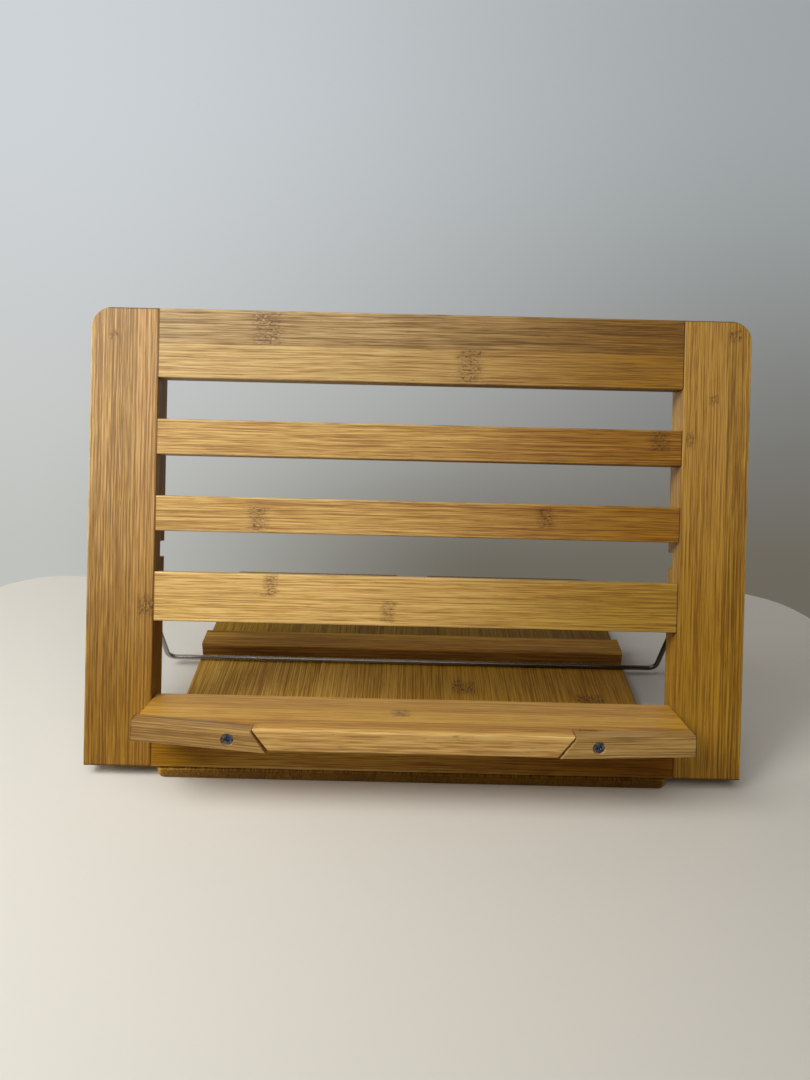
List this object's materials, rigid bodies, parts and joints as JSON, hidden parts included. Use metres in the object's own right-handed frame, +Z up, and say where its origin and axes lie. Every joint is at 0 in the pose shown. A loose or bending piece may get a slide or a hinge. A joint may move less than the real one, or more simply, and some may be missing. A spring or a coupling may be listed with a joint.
{
  "type": "folding bookstand",
  "caption": "Folding bamboo bookstand with a slatted leaning frame, wire prop, base board, fold-up ledge and turning page holders.",
  "frame": {"origin": "middle of the open stand's footprint, on the table under the base board", "axes": "+Z up, -Y towards the reader, +X to the reader's right"},
  "size_m": [0.34, 0.2532, 0.2224],
  "materials": {
    "bamboo": "satin",
    "dark_bamboo": "satin",
    "steel_wire": "satin",
    "steel": "satin"
  },
  "bodies": {
    "base": {"base_board": "bamboo", "stop_strip": "dark_bamboo", "hinge_leaf_base_left": "steel", "hinge_leaf_base_right": "steel", "hinge_screw_base_left_a": "steel", "hinge_screw_base_left_b": "steel", "hinge_screw_base_right_a": "steel", "hinge_screw_base_right_b": "steel"},
    "frame": {"stile_left": "bamboo", "stile_right": "bamboo", "top_rail": "bamboo", "slat_upper": "bamboo", "slat_lower": "bamboo", "middle_rail": "bamboo", "bottom_rail": "bamboo", "ledge_pin_left": "steel", "ledge_pin_right": "steel", "hinge_leaf_frame_left": "steel", "hinge_leaf_frame_right": "steel", "hinge_pin_left": "steel", "hinge_pin_right": "steel", "hinge_screw_rail_left_a": "steel", "hinge_screw_rail_left_b": "steel", "hinge_screw_rail_right_a": "steel", "hinge_screw_rail_right_b": "steel"},
    "prop": {"prop_wire": "steel_wire"},
    "ledge": {"ledge": "bamboo", "page_holder_screw_left": "steel", "page_holder_screw_right": "steel"},
    "page_holder_left": {"page_holder_left": "bamboo"},
    "page_holder_right": {"page_holder_right": "bamboo"}
  },
  "joints": [
    {"name": "frame_fold", "type": "hinge", "parent": "base", "child": "frame", "pos_m": [0, -0.0877, 0.0067], "axis": [-1, 0, 0], "range_deg": [-6, 65.8]},
    {"name": "prop_swing", "type": "hinge", "parent": "frame", "child": "prop", "pos_m": [0, -0.04222, 0.10473], "axis": [1, 0, 0], "range_deg": [0, 131.29]},
    {"name": "ledge_fold", "type": "hinge", "parent": "frame", "child": "ledge", "pos_m": [0, -0.08311, 0.03272], "axis": [-1, 0, 0], "range_deg": [0, 98.51]},
    {"name": "page_holder_left_turn", "type": "hinge", "parent": "ledge", "child": "page_holder_left", "pos_m": [-0.0881, -0.12499, 0.04448], "axis": [0, -0.9627, 0.2704], "range_deg": [-85.7, 4.3]},
    {"name": "page_holder_right_turn", "type": "hinge", "parent": "ledge", "child": "page_holder_right", "pos_m": [0.0881, -0.12499, 0.04448], "axis": [0, 0.9627, -0.2704], "range_deg": [-87.75, 2.25]}
  ]
}
